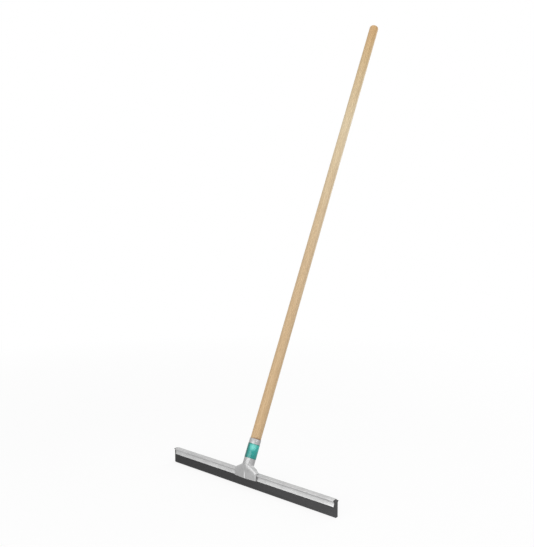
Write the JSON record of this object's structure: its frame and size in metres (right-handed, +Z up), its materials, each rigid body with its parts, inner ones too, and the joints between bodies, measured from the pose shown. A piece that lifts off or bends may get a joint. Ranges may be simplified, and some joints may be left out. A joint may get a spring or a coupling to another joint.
{
  "type": "floor squeegee",
  "caption": "Floor squeegee: a black rubber strip in a folded galvanised steel rail, with a pressed steel socket that carries a long leaning wooden handle.",
  "frame": {"origin": "middle of the rubber strip's floor edge, on the floor", "axes": "+X along the rail, to the right as seen from the front; -Y is the front, where the user pushes from; +Z is up, away from the floor. The handle leans back towards +Y."},
  "size_m": [0.552, 0.6458, 1.3322],
  "materials": {
    "rubber": "matte black solid rubber",
    "galvanised_steel": "zinc-coated sheet, satin",
    "wood": "plain pale hardwood, lightly sanded",
    "screw_steel": "dull plated steel",
    "label_film": "glossy printed film, bare of any lettering"
  },
  "bodies": {
    "frame": {"rail": "galvanised_steel", "socket_front": "galvanised_steel", "socket_rear": "galvanised_steel", "handle": "wood", "handle_screw": "screw_steel", "label": "label_film"},
    "strip": {"blade": "rubber"}
  },
  "joints": [
    {"name": "blade_slide", "type": "slide", "parent": "frame", "child": "strip", "axis": [1, 0, 0], "range_m": [-0.56, 0.56]}
  ]
}
